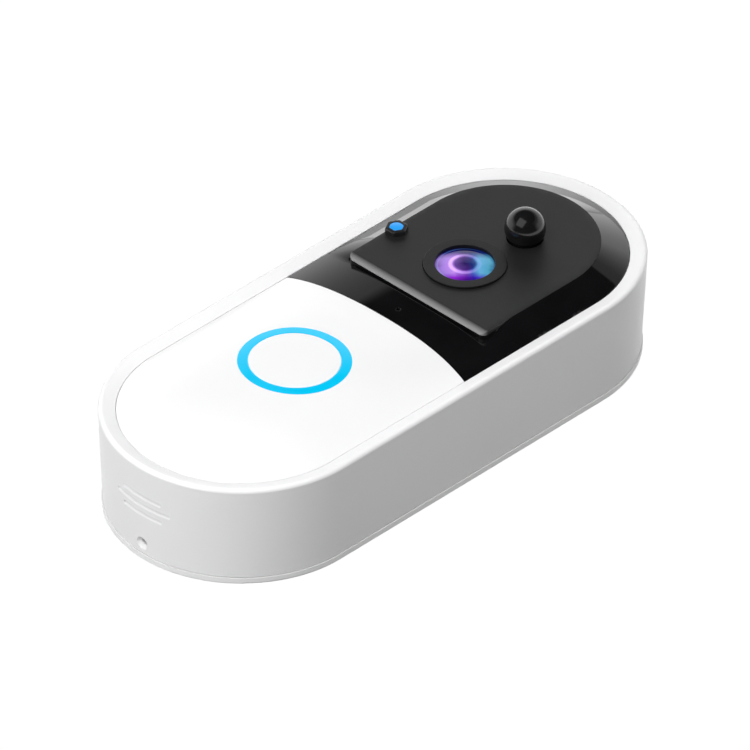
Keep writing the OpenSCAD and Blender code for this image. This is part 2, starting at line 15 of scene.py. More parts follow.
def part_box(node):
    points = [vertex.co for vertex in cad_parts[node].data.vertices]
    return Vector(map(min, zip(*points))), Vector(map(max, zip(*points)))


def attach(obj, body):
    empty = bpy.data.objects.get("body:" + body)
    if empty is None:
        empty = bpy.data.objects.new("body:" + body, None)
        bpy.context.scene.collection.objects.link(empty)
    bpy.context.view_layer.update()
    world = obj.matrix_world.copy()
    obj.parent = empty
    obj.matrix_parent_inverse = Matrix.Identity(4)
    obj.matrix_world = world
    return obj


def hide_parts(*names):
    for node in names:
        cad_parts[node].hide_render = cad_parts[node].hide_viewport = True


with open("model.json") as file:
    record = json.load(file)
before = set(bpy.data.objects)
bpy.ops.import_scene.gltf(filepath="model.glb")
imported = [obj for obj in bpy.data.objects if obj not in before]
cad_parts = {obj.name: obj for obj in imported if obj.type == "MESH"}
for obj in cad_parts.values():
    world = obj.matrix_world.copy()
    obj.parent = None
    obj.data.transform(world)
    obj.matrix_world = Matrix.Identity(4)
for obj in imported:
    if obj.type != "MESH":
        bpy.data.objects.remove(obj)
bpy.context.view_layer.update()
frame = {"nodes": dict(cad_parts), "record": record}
MM = 0.001
UNIT = "main_unit"


# ---- Sizes, from the frame's boxes ----

def box_mm(node):
    lo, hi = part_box(node)
    return lo / MM, hi / MM


def round_spot(node):
    """Centre and radius of a node that is round in plan."""
    lo, hi = box_mm(node)
    return (lo.x + hi.x) / 2, (lo.y + hi.y) / 2, (hi.x - lo.x) / 2


SHELL_LO, SHELL_HI = box_mm("outer_shell")
END_R = SHELL_HI.x
RUN = SHELL_HI.y - END_R
RIM_TOP = SHELL_HI.z
SHELL_FOOT = SHELL_LO.z
RIM_ROLL = 0.9
RIM_INNER_ROLL = 0.16
FOOT_ROLL = 0.08
PLATE_LEDGE = 0.25
DRAFT = END_R - box_mm("wall_plate")[1].x + PLATE_LEDGE
WALL = 2.8
RIM_FALL = 0.9
LEDGE_W, LEDGE_T = 1.3, 1.05

COVER_LO, COVER_HI = box_mm("lower_cover")
COVER_R = COVER_HI.x
COVER_FOOT = COVER_LO.z
COVER_GAP = 0.1
OPEN_R = COVER_R + COVER_GAP
EDGE_Z = RIM_TOP - RIM_FALL
CROWN_Z = COVER_HI.z
COVER_T, WINDOW_T = 2.0, 1.7
COVER_ROLL, WINDOW_ROLL, SPLIT_ROLL = 0.16, 0.12, 0.1
RING_X, RING_Y, RING_R = round_spot("light_ring")
RING_W = 2.2
RING_IN = RING_R - RING_W
CAP_R = RING_IN - COVER_GAP
CAP_LO = box_mm("button_cap")[0].z
CAP_FLANGE, CAP_FLANGE_T, CAP_SKIRT_T, CAP_POST_R = 0.75, 0.7, 0.9, 1.8
SPLIT_Y = 3.0
SPLIT_R = 122.0
SPLIT_MID = SPLIT_Y - SPLIT_R
SPLIT_GAP = 0.1
CROWN_DROP = 2.85

PLATE_LO, PLATE_HI = box_mm("sensor_plate")
DECK_R = PLATE_HI.x
DECK_Z = PLATE_HI.z
DECK_EDGE = PLATE_LO.y
LIP_BACK = 1.6
LIP_DROP = 0.95
LIP_R = (LIP_BACK ** 2 + LIP_DROP ** 2) / (2 * LIP_DROP)
CORNER_R = 1.5
CORNER_X = DECK_R - CORNER_R
CORNER_Y = DECK_EDGE + CORNER_R
GROOVE_ROLL = 0.25
GROOVE_Y = DECK_EDGE - GROOVE_ROLL
GROOVE_FADE, GROOVE_DEPTH = 3.0, 1.0
VALLEY_POWER = 3.1
BLEND_Y = 9.0
DECK_T, DECK_ROLL = 1.0, 0.08
POCKET_Z = DECK_Z - DECK_T

CAM_X, CAM_Y, BEZEL_R = round_spot("lens_bezel")
BEZEL_TOP = box_mm("lens_bezel")[1].z
BEZEL_FOOT = box_mm("lens_bezel")[0].z
BEZEL_W, BEZEL_ROLL = 2.45, 0.12
MOUTH_R = BEZEL_R - BEZEL_W
GLASS_R = MOUTH_R - 0.05
GLASS_RIM_Z = BEZEL_TOP - 0.75
GLASS_TOP = BEZEL_TOP - 0.2
PIR_X, PIR_Y, PIR_FLANGE = round_spot("pir_lens")
PIR_LO, PIR_HI = box_mm("pir_lens")
PIR_R = 4.45
PIR_NECK = math.sqrt(PIR_R ** 2 - (PIR_HI.z - PIR_R - DECK_Z) ** 2)
LAMP_X, LAMP_Y, HEX_R = round_spot("indicator_bezel")
HEX_LO, HEX_HI = box_mm("indicator_bezel")
HEX_CORNER, HEX_ROLL = 0.5, 0.35
LAMP_R = round_spot("indicator_lamp")[2]
LAMP_FOOT = box_mm("indicator_lamp")[0].z
LAMP_ROLL = 0.12
MIC_X, MIC_Y, MIC_R, MIC_ROLL = 0.0, 7.0, 0.5, 0.08

LOCK_Z, LOCK_R = 4.2, 1.5
SLOT_Z, SLOT_PITCH, SLOT_H = 14.5, 2.27, 0.75
SLOT_LENGTHS = (10.65, 15.0, 10.65)
SLOT_LIP, SLOT_SPILL = 0.65, 0.7
SLIT_H, SLIT_RISE = SLOT_H * 0.36, SLOT_H * 0.32
LOCK_RAMP, LOCK_LEAN = 0.9, 0.3
CUT_START, CUT_END = -0.5, WALL + 1.4


# ---- Materials: one graph for moulded and rolled surfaces, and small special ones ----

def new_graph(name):
    mat = bpy.data.materials.new(name)
    mat.use_nodes = True
    tree = mat.node_tree
    return mat, tree, tree.nodes["Principled BSDF"]


def add(tree, kind, **values):
    node = tree.nodes.new(kind)
    for key, value in values.items():
        setattr(node, key, value)
    return node


def put(node, **sockets):
    """Sets sockets by name, with spaces written as underscores."""
    for key, value in sockets.items():
        node.inputs[key.replace("_", " ")].default_value = value
    return node


def rgba(colour):
    return (colour[0], colour[1], colour[2], 1.0)


def coords(tree, stretch=(1, 1, 1)):
    """Places on the object, stretched along its axes."""
    place = add(tree, "ShaderNodeTexCoord")
    mapping = put(add(tree, "ShaderNodeMapping"), Scale=stretch)
    tree.links.new(place.outputs["Object"], mapping.inputs["Vector"])
    return mapping.outputs["Vector"]


def noise_of(tree, vector, scale, detail=3.0, rough=0.55):
    node = put(add(tree, "ShaderNodeTexNoise"), Scale=scale, Detail=detail, Roughness=rough)
    tree.links.new(vector, node.inputs["Vector"])
    return node.outputs["Fac"]


def ramp_of(tree, fac, stops):
    """Colour stops (position, colour) along fac."""
    node = add(tree, "ShaderNodeValToRGB")
    while len(node.color_ramp.elements) < len(stops):
        node.color_ramp.elements.new(0.5)
    for element, (position, colour) in zip(node.color_ramp.elements, stops):
        element.position = position
        element.color = rgba(colour)
    tree.links.new(fac, node.inputs["Fac"])
    return node.outputs["Color"]


def spread(tree, fac, low, high, from_low=0.3, from_high=0.7):
    """Carries fac's range from_low to from_high over to low to high, and holds the ends."""
    node = add(tree, "ShaderNodeMapRange")
    put(node, From_Min=from_low, From_Max=from_high, To_Min=low, To_Max=high)
    tree.links.new(fac, node.inputs["Value"])
    return node.outputs["Result"]


def maths(tree, operation, a, b=None, c=None, clamp=False):
    node = add(tree, "ShaderNodeMath", operation=operation, use_clamp=clamp)
    for socket, value in zip(node.inputs, (a, b, c)):
        if value is None:
            continue
        if isinstance(value, (int, float)):
            socket.default_value = value
        else:
            tree.links.new(value, socket)
    return node.outputs["Value"]


def bump_to(tree, shader, height, strength, depth):
    node = put(add(tree, "ShaderNodeBump"), Strength=strength, Distance=depth * MM)
    tree.links.new(height, node.inputs["Height"])
    tree.links.new(node.outputs["Normal"], shader.inputs["Normal"])


def moulded(name, colour, rough, shift=0.04, tone_mm=9.0, grain_mm=0.25, grain_depth=0.006,
            stretch=(1, 1, 1), sockets=()):
    """A surface with a slow drift of tone, a fine grain in the bump and a patchy roughness."""
    mat, tree, shader = new_graph(name)
    vector = coords(tree, stretch)
    drift = noise_of(tree, vector, 1 / (tone_mm * MM), 4.0)
    grain = noise_of(tree, vector, 1 / (grain_mm * MM), 2.0)
    dark = [c * (1 - shift) for c in colour]
    light = [min(1.0, c * (1 + shift)) for c in colour]
    tree.links.new(ramp_of(tree, drift, [(0.3, dark), (0.7, light)]), shader.inputs["Base Color"])
    mixed = maths(tree, "MULTIPLY_ADD", drift, 0.6, maths(tree, "MULTIPLY", grain, 0.4))
    tree.links.new(spread(tree, mixed, rough * 0.85, rough * 1.15, 0.35, 0.65), shader.inputs["Roughness"])
    bump_to(tree, shader, grain, 0.5, grain_depth)
    put(shader, **dict(sockets))
    return mat


def with_painted_lip_highlight(mat, colour):
    """Painted highlight: lightens the faces that look along -Y, so the plate's front lip shows a bright strip
    where light would catch its slope.
    """
    tree = mat.node_tree
    shader = tree.nodes["Principled BSDF"]
    body = shader.inputs["Base Color"].links[0].from_socket
    place = add(tree, "ShaderNodeTexCoord")
    split = add(tree, "ShaderNodeSeparateXYZ")
    tree.links.new(place.outputs["Normal"], split.inputs["Vector"])
    mix = add(tree, "ShaderNodeMix", data_type="RGBA")
    # how far a face looks along -Y sets how much painted highlight it gets
    tree.links.new(spread(tree, split.outputs["Y"], 0.0, 1.0, -0.1, -0.9), mix.inputs["Factor"])
    tree.links.new(body, mix.inputs["A"])
    mix.inputs["B"].default_value = rgba(colour)
    tree.links.new(mix.outputs["Result"], shader.inputs["Base Color"])
    return mat


def board_mask(name, colour):
    """Solder mask over copper tracks: a slightly raised maze of lines."""
    mat, tree, shader = new_graph(name)
    vector = coords(tree)
    cells = add(tree, "ShaderNodeTexBrick", offset=0.5)
    put(cells, Scale=1 / (9 * MM), Mortar_Size=0.03, Brick_Width=0.9, Row_Height=0.35,
        Color1=rgba([c * 1.25 for c in colour]), Color2=rgba(colour), Mortar=rgba([c * 0.55 for c in colour]))
    tree.links.new(vector, cells.inputs["Vector"])
    tree.links.new(cells.outputs["Color"], shader.inputs["Base Color"])
    grain = noise_of(tree, vector, 1 / (0.6 * MM))
    tree.links.new(spread(tree, grain, 0.25, 0.4), shader.inputs["Roughness"])
    height = maths(tree, "ADD", cells.outputs["Fac"], maths(tree, "MULTIPLY", grain, 0.2))
    bump_to(tree, shader, height, 0.6, 0.04)
    put(shader, Coat_Weight=0.4, Coat_Roughness=0.15)
    return mat


def woven(name, colour, pitch_mm):
    """Two crossed waves: fine metal mesh."""
    mat, tree, shader = new_graph(name)
    vector = coords(tree)
    waves = []
    for axis in ("X", "Z"):
        wave = add(tree, "ShaderNodeTexWave", bands_direction=axis)
        put(wave, Scale=0.314 / (pitch_mm * MM), Distortion=0.4)
        tree.links.new(vector, wave.inputs["Vector"])
        waves.append(wave.outputs["Fac"])
    weave = maths(tree, "MULTIPLY", waves[0], waves[1])
    tree.links.new(ramp_of(tree, weave, [(0.0, [c * 0.3 for c in colour]), (0.6, colour)]),
                   shader.inputs["Base Color"])
    tree.links.new(spread(tree, weave, 0.6, 0.9, 0, 1), shader.inputs["Roughness"])
    bump_to(tree, shader, weave, 0.8, 0.1)
    return mat


def wrapped_cell(name, colour):
    """Shrink film: two tones with a lap line, and faint lengthwise draw marks."""
    mat, tree, shader = new_graph(name)
    vector = coords(tree, (1, 0.12, 1))
    drift = noise_of(tree, vector, 1 / (1.2 * MM), 4.0)
    wave = add(tree, "ShaderNodeTexWave", bands_direction="Y")
    put(wave, Scale=0.314 / (2.6 * MM), Distortion=0.6)
    tree.links.new(vector, wave.inputs["Vector"])
    tone = maths(tree, "MULTIPLY_ADD", wave.outputs["Fac"], 0.25, maths(tree, "MULTIPLY", drift, 0.75))
    tree.links.new(ramp_of(tree, tone, [(0.3, [c * 0.75 for c in colour]), (0.7, colour)]),
                   shader.inputs["Base Color"])
    tree.links.new(spread(tree, drift, 0.2, 0.38), shader.inputs["Roughness"])
    bump_to(tree, shader, drift, 0.4, 0.05)
    put(shader, Coat_Weight=0.5, Coat_Roughness=0.1)
    return mat


def glowing(name, colour, glow, strength, lamps=0, centre=(0, 0), depth=0.16):
    """Lit plastic. The glow swells a little over each of a ring of lamps."""
    mat, tree, shader = new_graph(name)
    vector = coords(tree)
    drift = noise_of(tree, vector, 1 / (3 * MM))
    level = spread(tree, drift, 1 - depth / 2, 1)
    if lamps:
        split = add(tree, "ShaderNodeSeparateXYZ")
        tree.links.new(vector, split.inputs["Vector"])
        across = maths(tree, "SUBTRACT", split.outputs["X"], centre[0] * MM)
        along = maths(tree, "SUBTRACT", split.outputs["Y"], centre[1] * MM)
        turn = maths(tree, "ARCTAN2", along, across)
        swell = maths(tree, "COSINE", maths(tree, "MULTIPLY", turn, float(lamps)))
        level = maths(tree, "MULTIPLY_ADD", swell, -depth / 4, level)
    tint = add(tree, "ShaderNodeMix", data_type="RGBA")
    tint.inputs["A"].default_value = rgba([c * 0.8 for c in glow])
    tint.inputs["B"].default_value = rgba(glow)
    tree.links.new(level, tint.inputs["Factor"])
    tree.links.new(tint.outputs["Result"], shader.inputs["Emission Color"])
    tree.links.new(ramp_of(tree, drift, [(0.3, [c * 0.9 for c in colour]), (0.7, colour)]),
                   shader.inputs["Base Color"])
    tree.links.new(spread(tree, drift, 0.16, 0.24), shader.inputs["Roughness"])
    bump_to(tree, shader, drift, 0.2, 0.01)
    put(shader, Emission_Strength=strength, Coat_Weight=0.3, Coat_Roughness=0.06)
    return mat


def glass_with_painted_reflections(name, centre, radius):
    """The camera's front element: painted reflections of violet, magenta, blue and cyan coatings on curved
    faces, with a painted halo ring, darker rims and a darker centre, all given off as a painted glow.
    """
    mat, tree, shader = new_graph(name)
    place = add(tree, "ShaderNodeTexCoord")
    shift = put(add(tree, "ShaderNodeMapping"), Location=(-centre[0] / radius, -centre[1] / radius, 0),
                Scale=(1 / (radius * MM),) * 3)
    tree.links.new(place.outputs["Object"], shift.inputs["Vector"])
    split = add(tree, "ShaderNodeSeparateXYZ")
    tree.links.new(shift.outputs["Vector"], split.inputs["Vector"])
    x, y = split.outputs["X"], split.outputs["Y"]
    # along: from the far left rim to the right rim; across: from the near rim to the far rim
    along = maths(tree, "ADD", maths(tree, "MULTIPLY", x, 0.714), maths(tree, "MULTIPLY", y, 0.70))
    across = maths(tree, "ADD", maths(tree, "MULTIPLY", x, -0.70), maths(tree, "MULTIPLY", y, 0.714))
    wobble = noise_of(tree, shift.outputs["Vector"], 1.6, 2.0)
    sway = maths(tree, "MULTIPLY_ADD", wobble, 0.5, -0.25)
    sweep = maths(tree, "MULTIPLY_ADD", maths(tree, "ADD", along, sway), 0.5, 0.5, clamp=True)
    # painted reflection colours of the coatings, laid across the glass from rim to rim
    body = ramp_of(tree, sweep, [
        (0.0, (0.18, 0.10, 0.36)), (0.16, (0.33, 0.19, 0.63)), (0.34, (0.44, 0.22, 0.70)),
        (0.5, (0.16, 0.06, 0.38)), (0.62, (0.05, 0.10, 0.42)), (0.74, (0.11, 0.36, 0.60)),
        (0.9, (0.07, 0.32, 0.48)), (1.0, (0.02, 0.10, 0.22))])
    # painted reflection: darker towards the near and far rims, white between
    fall = maths(tree, "MULTIPLY_ADD", across, -0.5, 0.5, clamp=True)
    edge = ramp_of(tree, fall, [(0.0, (0.01, 0.01, 0.06)), (0.16, (0.02, 0.02, 0.2)), (0.34, (1, 1, 1)),
                                (0.74, (1, 1, 1)), (0.86, (0.55, 0.08, 0.8)), (1.0, (0.08, 0.01, 0.16))])
    tinted = add(tree, "ShaderNodeMix", data_type="RGBA", blend_type="MULTIPLY")
    tinted.inputs["Factor"].default_value = 1.0
    tree.links.new(body, tinted.inputs["A"])
    tree.links.new(edge, tinted.inputs["B"])
    square = maths(tree, "ADD", maths(tree, "MULTIPLY", x, x), maths(tree, "MULTIPLY", y, y))
    reach = maths(tree, "SQRT", square)
    # painted halo: a pale ring of painted reflection part way out from the centre
    painted_halo_reflection = ramp_of(tree, reach, [
        (0.0, (0, 0, 0)), (0.40, (0, 0, 0)), (0.45, (0.55, 0.35, 0.75)), (0.52, (0.62, 0.45, 0.85)),
        (0.58, (0.05, 0.03, 0.1)), (0.88, (0, 0, 0)), (0.92, (0.06, 0.16, 0.24)), (0.97, (0, 0, 0))])
    # darker towards the centre
    pupil = ramp_of(tree, reach, [(0.0, (0.16, 0.2, 0.26)), (0.34, (0.3, 0.26, 0.42)), (0.43, (1, 1, 1))])
    dimmed = add(tree, "ShaderNodeMix", data_type="RGBA", blend_type="MULTIPLY")
    dimmed.inputs["Factor"].default_value = 1.0
    tree.links.new(tinted.outputs["Result"], dimmed.inputs["A"])
    tree.links.new(pupil, dimmed.inputs["B"])
    painted_glow = add(tree, "ShaderNodeMix", data_type="RGBA", blend_type="ADD")
    tree.links.new(spread(tree, sweep, 0.6, 0.08, 0.25, 0.75), painted_glow.inputs["Factor"])
    tree.links.new(dimmed.outputs["Result"], painted_glow.inputs["A"])
    tree.links.new(painted_halo_reflection, painted_glow.inputs["B"])
    # the painted colours are given off as emission: a painted glow on glass that is no lamp
    tree.links.new(painted_glow.outputs["Result"], shader.inputs["Emission Color"])
    dull = add(tree, "ShaderNodeMix", data_type="RGBA", blend_type="MULTIPLY")
    dull.inputs["Factor"].default_value = 1.0
    dull.inputs["B"].default_value = rgba((0.2, 0.2, 0.2))
    tree.links.new(painted_glow.outputs["Result"], dull.inputs["A"])
    tree.links.new(dull.outputs["Result"], shader.inputs["Base Color"])
    dust = noise_of(tree, shift.outputs["Vector"], 14.0)
    tree.links.new(spread(tree, dust, 0.02, 0.06), shader.inputs["Roughness"])
    bump_to(tree, shader, dust, 0.1, 0.004)
    put(shader, Emission_Strength=0.95, Coat_Weight=0.1, Coat_Roughness=0.02, IOR=1.36)
    return mat


METAL = {"Metallic": 1.0}
# moulded() takes name, colour, roughness, tone shift, tone size, grain size and grain depth.
LOOKS = {
    "white_case": lambda n: moulded(n, (0.84, 0.84, 0.845), 0.46, 0.008, 14, 0.3, 0.004,
                                    sockets={"Specular_IOR_Level": 0.3}),
    "white_cover": lambda n: moulded(n, (0.86, 0.86, 0.865), 0.22, 0.006, 18, 0.5, 0.002,
                                     sockets={"Coat_Weight": 0.25, "Coat_Roughness": 0.08}),
    "plate_white": lambda n: moulded(n, (0.8, 0.8, 0.8), 0.42, 0.01, 12, 0.28, 0.006),
    "housing_white": lambda n: moulded(n, (0.7, 0.7, 0.69), 0.5, 0.02, 8, 0.35, 0.012),
    "ring_blue": lambda n: glowing(n, (0.0, 0.07, 0.09), (0.0, 0.53, 0.87), 1.0, 8, (RING_X, RING_Y)),
    "lamp_blue": lambda n: glowing(n, (0.01, 0.05, 0.1), (0.015, 0.32, 0.86), 1.0),
    "window_black": lambda n: moulded(n, (0.0045, 0.0045, 0.005), 0.035, 0.2, 10, 0.9, 0.0006,
                                      sockets={"IOR": 1.5, "Coat_Weight": 0.2, "Coat_Roughness": 0.02}),
    # plate_dark carries a painted highlight: a lighter grey on the front lip's faces that look along -Y
    "plate_dark": lambda n: with_painted_lip_highlight(moulded(n, (0.01, 0.01, 0.0105), 0.44, 0.05, 9, 0.22, 0.007),
                                       (0.26, 0.26, 0.26)),
    "bezel_dark": lambda n: moulded(n, (0.006, 0.006, 0.0065), 0.46, 0.05, 6, 0.2, 0.006),
    "pir_black": lambda n: moulded(n, (0.006, 0.006, 0.0065), 0.14, 0.2, 6, 0.8, 0.0008,
                                   sockets={"Specular_IOR_Level": 0.4}),
    "black_plastic": lambda n: moulded(n, (0.012, 0.012, 0.013), 0.3, 0.1, 4, 0.25, 0.008),
    "lens_glass": lambda n: glass_with_painted_reflections(n, (CAM_X, CAM_Y), GLASS_R),
    "inner_glass": lambda n: moulded(n, (0.35, 0.45, 0.6), 0.05, 0.1, 3, 0.6, 0.0005,
                                     sockets={"Transmission_Weight": 0.8, "IOR": 1.6}),
    "silicone": lambda n: moulded(n, (0.4, 0.4, 0.41), 0.62, 0.05, 4, 0.3, 0.01),
    "rubber_black": lambda n: moulded(n, (0.022, 0.022, 0.022), 0.75, 0.12, 5, 0.3, 0.02),
    "board_green": lambda n: board_mask(n, (0.008, 0.1, 0.045)),
    "chip_black": lambda n: moulded(n, (0.02, 0.02, 0.022), 0.55, 0.15, 2, 0.12, 0.02),
    "led_clear": lambda n: moulded(n, (0.8, 0.72, 0.4), 0.15, 0.1, 1, 0.4, 0.004,
                                   sockets={"Coat_Weight": 0.6}),
    "flex_amber": lambda n: moulded(n, (0.5, 0.17, 0.02), 0.28, 0.15, 1.4, 0.5, 0.01, (1, 0.15, 1)),
    "can_tin": lambda n: moulded(n, (0.62, 0.62, 0.62), 0.3, 0.06, 4, 0.3, 0.01, (1, 0.2, 1), METAL),
    "screw_steel": lambda n: moulded(n, (0.5, 0.51, 0.53), 0.34, 0.1, 1, 0.15, 0.015, (1, 1, 1), METAL),
    "contact_nickel": lambda n: moulded(n, (0.66, 0.62, 0.56), 0.26, 0.08, 3, 0.2, 0.008, (1, 1, 0.2), METAL),
    "gold_trace": lambda n: moulded(n, (0.8, 0.55, 0.2), 0.3, 0.08, 2, 0.3, 0.008, (1, 1, 1), METAL),
    "cell_wrap": lambda n: wrapped_cell(n, (0.03, 0.28, 0.2)),
    "cone_paper": lambda n: moulded(n, (0.03, 0.03, 0.03), 0.8, 0.2, 1, 0.15, 0.03),
    "mesh_grey": lambda n: woven(n, (0.28, 0.28, 0.28), 0.35),
    "wire_red": lambda n: moulded(n, (0.5, 0.02, 0.02), 0.45, 0.08, 2, 0.4, 0.01),
}
MATS = {slot: look("look_" + slot) for slot, look in LOOKS.items()}


def dress_frame():
    """Gives every CAD node the look of its slot in the record."""
    for part in frame["record"]["subparts"]:
        mesh = frame["nodes"][part["node"]].data
        mesh.materials.clear()
        mesh.materials.append(MATS[part["material_slot"]])


# ---- Mesh helpers ----

def true_normals(mesh, normals, agree=0.85):
    """Takes the surface's exact normals on the faces that lie on it."""
    loops = [(0.0, 0.0, 0.0)] * len(mesh.loops)
    for face in mesh.polygons:
        middle = normals(face.center / MM)
        if middle is None or face.normal.dot(middle) < agree:
            continue
        for i in face.loop_indices:
            exact = normals(mesh.vertices[mesh.loops[i].vertex_index].co / MM)
            loops[i] = exact if exact and face.normal.dot(exact) > agree else face.normal.copy()
    mesh.normals_split_custom_set(loops)


def make(name, verts, faces, slot, body, replaces=(), sharp=32.0, normals=None):
    """A finished piece, from points in millimetres."""
    mesh = bpy.data.meshes.new(name)
    mesh.from_pydata([Vector(v) * MM for v in verts], [], faces)
    bm = bmesh.new()
    bm.from_mesh(mesh)
    bmesh.ops.recalc_face_normals(bm, faces=bm.faces)
    bm.to_mesh(mesh)
    bm.free()
    mesh.shade_smooth()
    mesh.set_sharp_from_angle(angle=math.radians(sharp))
    mesh.materials.append(MATS[slot])
    obj = bpy.data.objects.new(name, mesh)
    bpy.context.scene.collection.objects.link(obj)
    if normals:
        true_normals(mesh, normals)
    else:
        weight = obj.modifiers.new("even_shading", "WEIGHTED_NORMAL")
        weight.keep_sharp = True
    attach(obj, body)
    if replaces:
        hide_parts(*replaces)
    return obj


def arc(cx, cy, r, start, end, count):
    """Points on an arc, angles in degrees."""
    turns = [math.radians(start + (end - start) * i / count) for i in range(count + 1)]
    return [(cx + r * math.cos(a), cy + r * math.sin(a)) for a in turns]


def circle(cx, cy, r, count):
    return arc(cx, cy, r, 0, 360, count)[:-1]


def half_turn(cy, start):
    """The covers' round end about (0, cy), from the angle start."""
    return [(COVER_R * math.cos(a), cy + COVER_R * math.sin(a))
            for a in (start + math.pi * i / 120 for i in range(121))]


def side(x, start, end, steps):
    """Points between start and end along a straight side, without its ends."""
    return [(x, start + (end - start) * i / steps) for i in range(1, steps)]


def stations(per_end, side_step):
    """Spots round the stadium's centre line with their outward directions."""
    out = []
    for end in (1, -1):
        for i in range(per_end + 1):
            a = (0 if end > 0 else math.pi) + math.pi * i / per_end
            out.append((end * RUN, math.cos(a), math.sin(a)))
        steps = max(1, round(2 * RUN / side_step))
        out += [(end * RUN * (1 - 2 * i / steps), -end, 0.0) for i in range(1, steps)]
    return out


def swept(profile, per_end=60, side_step=4.0):
    """A closed section (distance from the centre line, height) carried round the stadium."""
    spots = stations(per_end, side_step)
    verts = [(r * nx, y + r * ny, z) for y, nx, ny in spots for r, z in profile]
    n, m = len(spots), len(profile)
    faces = [(i * m + j, (i + 1) % n * m + j, (i + 1) % n * m + (j + 1) % m, i * m + (j + 1) % m)
             for i in range(n) for j in range(m)]
    return verts, faces


def turned(profile, cx, cy, count=96):
    """A closed section (radius, height) turned about an upright axis. Points at radius 0 share a vertex."""
    verts, rings = [], []
    for r, z in profile:
        if r < 1e-6:
            rings.append([len(verts)] * count)
            verts.append((cx, cy, z))
        else:
            rings.append(list(range(len(verts), len(verts) + count)))
            verts += [(x, y, z) for x, y in circle(cx, cy, r, count)]
    faces = []
    for a, b in zip(rings, rings[1:] + rings[:1]):
        for i in range(count):
            k = (i + 1) % count
            face = list(dict.fromkeys((a[i], a[k], b[k], b[i])))
            if len(face) > 2:
                faces.append(face)
    return verts, faces


def stadium_reach(x, y):
    return math.hypot(x, max(0.0, abs(y) - RUN))


def roll(depth, r):
    """How far a surface has dropped at this distance inside an edge rounded by r."""
    if depth >= r:
        return 0.0
    inner = r - max(depth, 0.0)
    return r - math.sqrt(max(0.0, r * r - inner * inner))


def lip_drop(y):
    """How far the sensor plate's front lip has curved down at y."""
    ahead = min(LIP_BACK, max(0.0, DECK_EDGE + LIP_BACK - y))
    return LIP_R - math.sqrt(LIP_R ** 2 - ahead ** 2)


def slope_of(height, x, y, step=0.02):
    """The direction that a height field faces at a point."""
    dx = (height(x + step, y) - height(x - step, y)) / (2 * step)
    dy = (height(x, y + step) - height(x, y - step)) / (2 * step)
    return Vector((-dx, -dy, 1.0)).normalized()


def filled(loops, edges_in, spacing, rows, extra, lines):
    """Triangles over a flat region. loops are its edges, and edges_in the distances inside each."""
    def depth(x, y):
        return min(f(x, y) for f in edges_in)

    points, links = [], []
    for loop in list(loops) + list(lines):
        start = len(points)
        points += [Vector(p) for p in loop]
        links += [(start + i, start + (i + 1) % len(loop)) for i in range(len(loop))]
    for loop in loops:
        for row in rows:
            for x, y in loop:
                e = 1e-3
                gx, gy = depth(x + e, y) - depth(x - e, y), depth(x, y + e) - depth(x, y - e)
                size = math.hypot(gx, gy) or 1.0
                px, py = x + gx / size * row, y + gy / size * row
                if abs(depth(px, py) - row) < 0.02 + row * 0.05:
                    points.append(Vector((px, py)))
    clear = max(rows) + spacing * 0.4 if rows else spacing * 0.4
    lo = [min(p[k] for p in loops[0]) for k in (0, 1)]
    hi = [max(p[k] for p in loops[0]) for k in (0, 1)]
    pitch_y = spacing * math.sqrt(3) / 2
    for j in range(int((hi[1] - lo[1]) / pitch_y) + 1):
        for i in range(int((hi[0] - lo[0]) / spacing) + 2):
            x, y = lo[0] + (i + 0.5 * (j % 2)) * spacing, lo[1] + j * pitch_y
            if depth(x, y) > clear:
                points.append(Vector((x, y)))
    points += [Vector(p) for p in extra if depth(p[0], p[1]) > 0.04]
    flat, _, tris, *_ = delaunay_2d_cdt(points, links, [], 0, 1e-5)
    keep = []
    for tri in tris:
        mid = sum((flat[i] for i in tri), Vector((0, 0))) / 3
        if depth(mid.x, mid.y) > 0:
            a, b, c = (flat[i] for i in tri)
            turn = (b - a).cross(c - a)
            if abs(turn) > 1e-9:
                keep.append(tuple(tri) if turn > 0 else tuple(reversed(tri)))
    used = sorted({i for tri in keep for i in tri})
    index = {old: new for new, old in enumerate(used)}
    return [flat[i] for i in used], [tuple(index[i] for i in tri) for tri in keep]


def shaped(name, loops, edges_in, top, under, slot, body, replaces, spacing, rows,
           skirt=(), extra=(), lines=()):
    """A solid between two height fields. skirt is (how far out, height) steps down its edges."""
    flat, tris = filled(loops, edges_in, spacing, rows, extra, lines)
    seen = {}
    for tri in tris:
        for a, b in zip(tri, tri[1:] + tri[:1]):
            seen[(a, b)] = True
    border = [(a, b) for a, b in seen if (b, a) not in seen]

    def outward(i):
        x, y, e = flat[i].x, flat[i].y, 1e-3
        near = min(edges_in, key=lambda f: f(x, y))
        return -Vector((near(x + e, y) - near(x - e, y), near(x, y + e) - near(x, y - e))).normalized()

    verts = [(p.x, p.y, top(p.x, p.y)) for p in flat]
    faces = list(tris)
    level = {i: i for edge in border for i in edge}
    for out, z in skirt:
        lower = {}
        for i in level:
            step = outward(i) * out
            lower[i] = len(verts)
            verts.append((flat[i].x + step.x, flat[i].y + step.y, z))
        faces += [(level[a], lower[a], lower[b], level[b]) for a, b in border]
        level = lower
    last = skirt[-1][0] if skirt else 0.0
    base = len(verts)
    on_edge = set(level)
    for i, p in enumerate(flat):
        step = outward(i) * last if i in on_edge and last else Vector((0, 0))
        verts.append((p.x + step.x, p.y + step.y, under(p.x, p.y)))
    faces += [tuple(base + i for i in reversed(tri)) for tri in tris]
    faces += [(level[a], base + a, base + b, level[b]) for a, b in border]
    return make(name, verts, faces, slot, body, replaces,
                normals=lambda v: slope_of(top, v[0], v[1]))


# ---- Case ----

def wall_radius(z):
    """The outer wall's distance from the centre line, with its draft."""
    share = (z - SHELL_FOOT) / (RIM_TOP - RIM_ROLL - SHELL_FOOT)
    return END_R - DRAFT * (1 - min(1.0, max(0.0, share)))


RIM_SLOPE = math.atan2(RIM_FALL, END_R - RIM_ROLL - OPEN_R)


